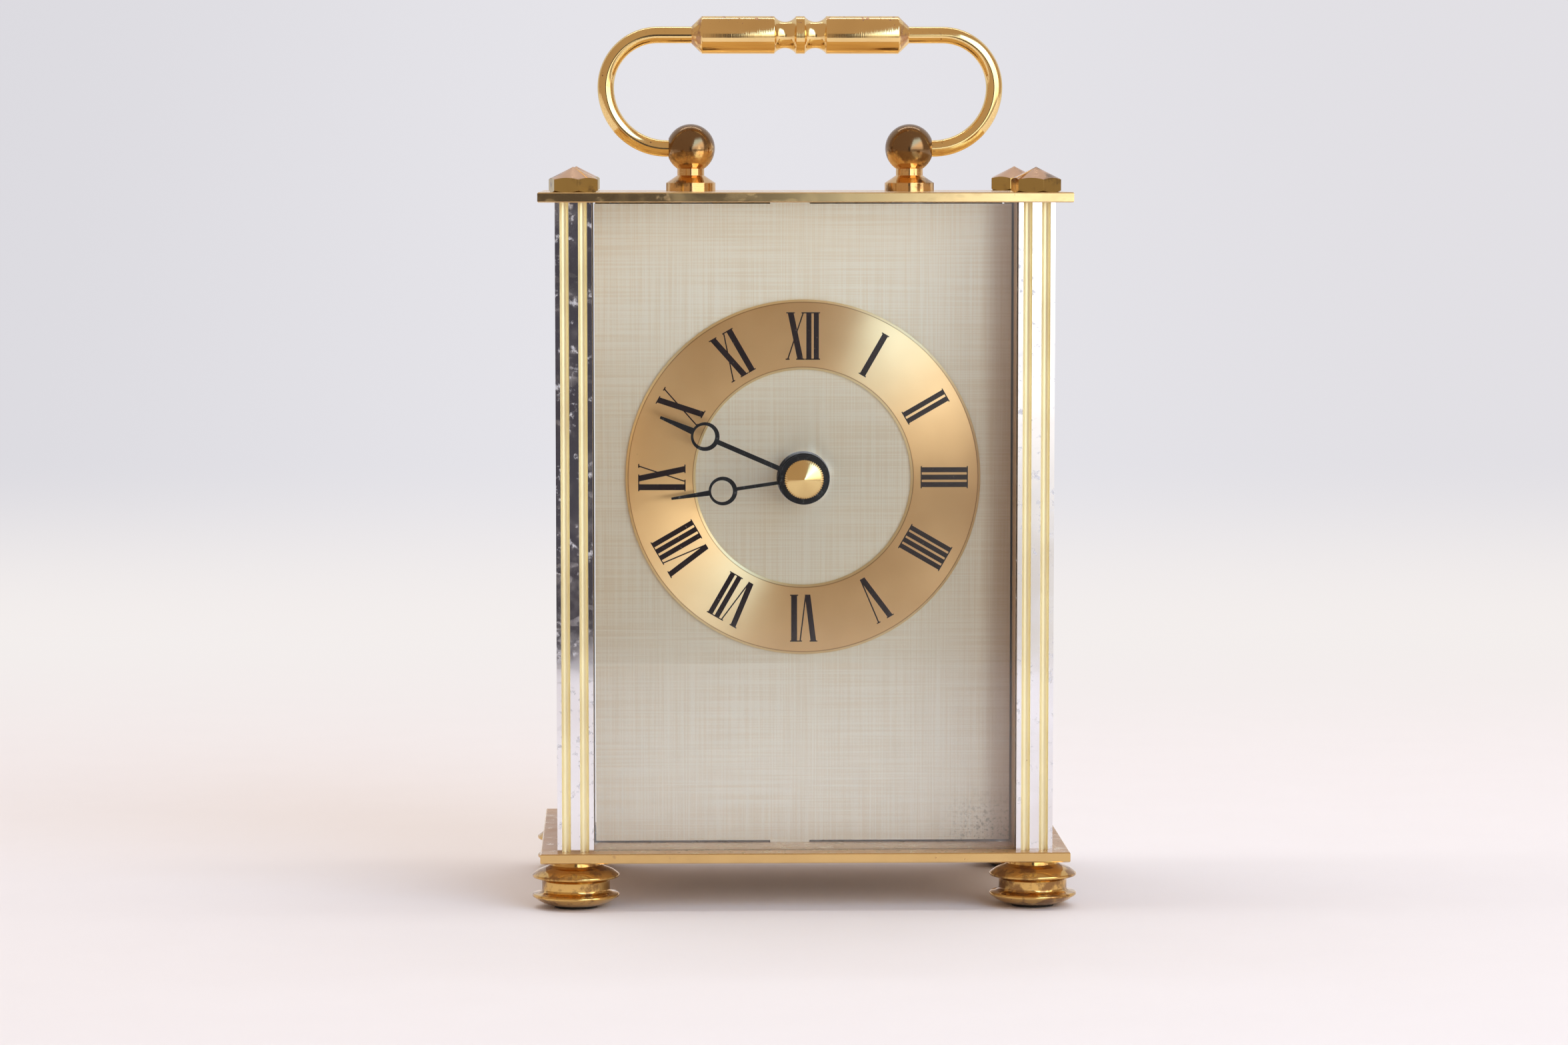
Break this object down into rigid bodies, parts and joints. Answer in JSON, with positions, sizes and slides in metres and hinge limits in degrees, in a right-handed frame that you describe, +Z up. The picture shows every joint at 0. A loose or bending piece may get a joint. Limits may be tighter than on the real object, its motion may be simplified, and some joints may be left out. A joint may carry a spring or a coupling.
{
  "type": "mantel clock",
  "caption": "Small brass carriage-style quartz mantel clock with square pillars, a swinging bail handle, turned feet, a glazed front, a Roman dial and a hinged rear door.",
  "frame": {"origin": "on the table, under the middle of the clock", "axes": "+X to the viewer's right, +Y from the dial to the rear door, +Z up"},
  "size_m": [0.0826, 0.0576, 0.1348],
  "materials": {
    "plates": "polished, tarnished brown in patches",
    "pillars": "polished silver plate with gilt flutes, lightly spotted",
    "steel": "plain turned",
    "finials": "polished, dark in the corners",
    "feet": "turned and polished",
    "pads": "matt",
    "glass": "clear",
    "side_sheets": "polished sheet",
    "door": "polished sheet",
    "posts": "turned, tarnished brown",
    "bail": "turned and polished",
    "dial": "champagne, stamped with a linen grain",
    "ring": "satin, spun in circles, black numerals",
    "hands": "black",
    "hand_nut": "knurled and polished",
    "plated_nut": "plated",
    "case": "moulded, fine matt grain",
    "set_knob": "moulded",
    "washer": "matt",
    "arbor": "turned",
    "nylon": "natural nylon",
    "magnet": "sintered magnet",
    "core": "stamped soft iron",
    "copper": "enamelled copper wire",
    "board": "green board with a black blob",
    "can": "bright can",
    "cell": "plain dark sleeve"
  },
  "bodies": {
    "clock_frame": {"base_plate": "plates", "top_plate": "plates", "pillar_front_left": "pillars", "pillar_front_right": "pillars", "pillar_rear_left": "pillars", "pillar_rear_right": "pillars", "tie_rods": "steel", "finial_front_left": "finials", "finial_front_right": "finials", "finial_rear_left": "finials", "finial_rear_right": "finials", "foot_front_left": "feet", "foot_front_right": "feet", "foot_rear_left": "feet", "foot_rear_right": "feet", "foot_pads": "pads", "front_glass": "glass", "side_panel_left": "side_sheets", "side_panel_right": "side_sheets", "door_pins": "steel", "door_pegs": "steel", "handle_post_left": "posts", "handle_post_right": "posts", "post_nuts": "steel", "dial_plate": "dial", "chapter_ring": "ring", "movement_case": "case", "movement_cover": "case", "cover_screws": "steel", "tube_nut": "plated_nut", "rubber_washer": "washer", "train_plate": "nylon", "train_bridge": "nylon", "stator": "core", "coil_bobbin": "nylon", "coil_winding": "copper", "circuit_board": "board", "quartz_crystal": "can", "battery": "cell", "battery_contacts": "can"},
    "handle": {"bail_rod_left": "bail", "bail_rod_right": "bail", "handle_grip": "bail"},
    "door": {"rear_door": "door", "door_knob": "door"},
    "minute_work": {"minute_hand": "hands", "hand_nut": "hand_nut", "minute_arbor": "arbor"},
    "hour_work": {"hour_hand": "hands", "hour_wheel": "arbor"},
    "motion_gear": {"motion_wheel": "nylon"},
    "setting_gear": {"setting_knob": "set_knob"},
    "rotor_gear": {"rotor": "magnet"},
    "fifth_gear": {"fifth_wheel": "nylon"},
    "seconds_gear": {"seconds_wheel": "nylon"},
    "third_gear": {"third_wheel": "nylon"},
    "drive_gear": {"drive_wheel": "arbor"}
  },
  "joints": [
    {"name": "handle_swing", "type": "hinge", "parent": "clock_frame", "child": "handle", "pos_m": [0, 0, 0.11456], "axis": [1, 0, 0], "range_deg": [-101, 101]},
    {"name": "door_swing", "type": "hinge", "parent": "clock_frame", "child": "door", "pos_m": [0.0308, 0.0232, 0.0576], "axis": [0, 0, -1], "range_deg": [0, 100]},
    {"name": "minute_spin", "type": "hinge", "parent": "clock_frame", "child": "minute_work", "pos_m": [0, -0.0095, 0.0647], "axis": [0, 1, 0], "continuous": true},
    {"name": "hour_spin", "type": "hinge", "parent": "clock_frame", "child": "hour_work", "pos_m": [0, -0.0095, 0.0647], "axis": [0, 1, 0], "continuous": true},
    {"name": "motion_spin", "type": "hinge", "parent": "clock_frame", "child": "motion_gear", "pos_m": [0.006, -0.0095, 0.07509], "axis": [0, 1, 0], "continuous": true},
    {"name": "setting_spin", "type": "hinge", "parent": "clock_frame", "child": "setting_gear", "pos_m": [0, -0.0095, 0.08548], "axis": [0, 1, 0], "continuous": true},
    {"name": "rotor_spin", "type": "hinge", "parent": "clock_frame", "child": "rotor_gear", "pos_m": [0.01344, -0.0095, 0.0621], "axis": [0, 1, 0], "continuous": true},
    {"name": "fifth_spin", "type": "hinge", "parent": "clock_frame", "child": "fifth_gear", "pos_m": [0.00804, -0.0095, 0.07145], "axis": [0, 1, 0], "continuous": true},
    {"name": "seconds_spin", "type": "hinge", "parent": "clock_frame", "child": "seconds_gear", "pos_m": [0, -0.0095, 0.0647], "axis": [0, 1, 0], "continuous": true},
    {"name": "third_spin", "type": "hinge", "parent": "clock_frame", "child": "third_gear", "pos_m": [-0.01015, -0.0095, 0.06839], "axis": [0, 1, 0], "continuous": true},
    {"name": "drive_spin", "type": "hinge", "parent": "clock_frame", "child": "drive_gear", "pos_m": [0, -0.0095, 0.0647], "axis": [0, 1, 0], "continuous": true}
  ],
  "couplings": [
    {"joint": "hour_spin", "follows": "minute_spin", "ratio": 0.083333},
    {"joint": "motion_spin", "follows": "minute_spin", "ratio": -0.33333},
    {"joint": "setting_spin", "follows": "minute_spin", "ratio": 1},
    {"joint": "fifth_spin", "follows": "rotor_spin", "ratio": -0.2},
    {"joint": "seconds_spin", "follows": "rotor_spin", "ratio": 0.033333},
    {"joint": "third_spin", "follows": "rotor_spin", "ratio": -0.0044444},
    {"joint": "drive_spin", "follows": "rotor_spin", "ratio": 0.00055556}
  ]
}
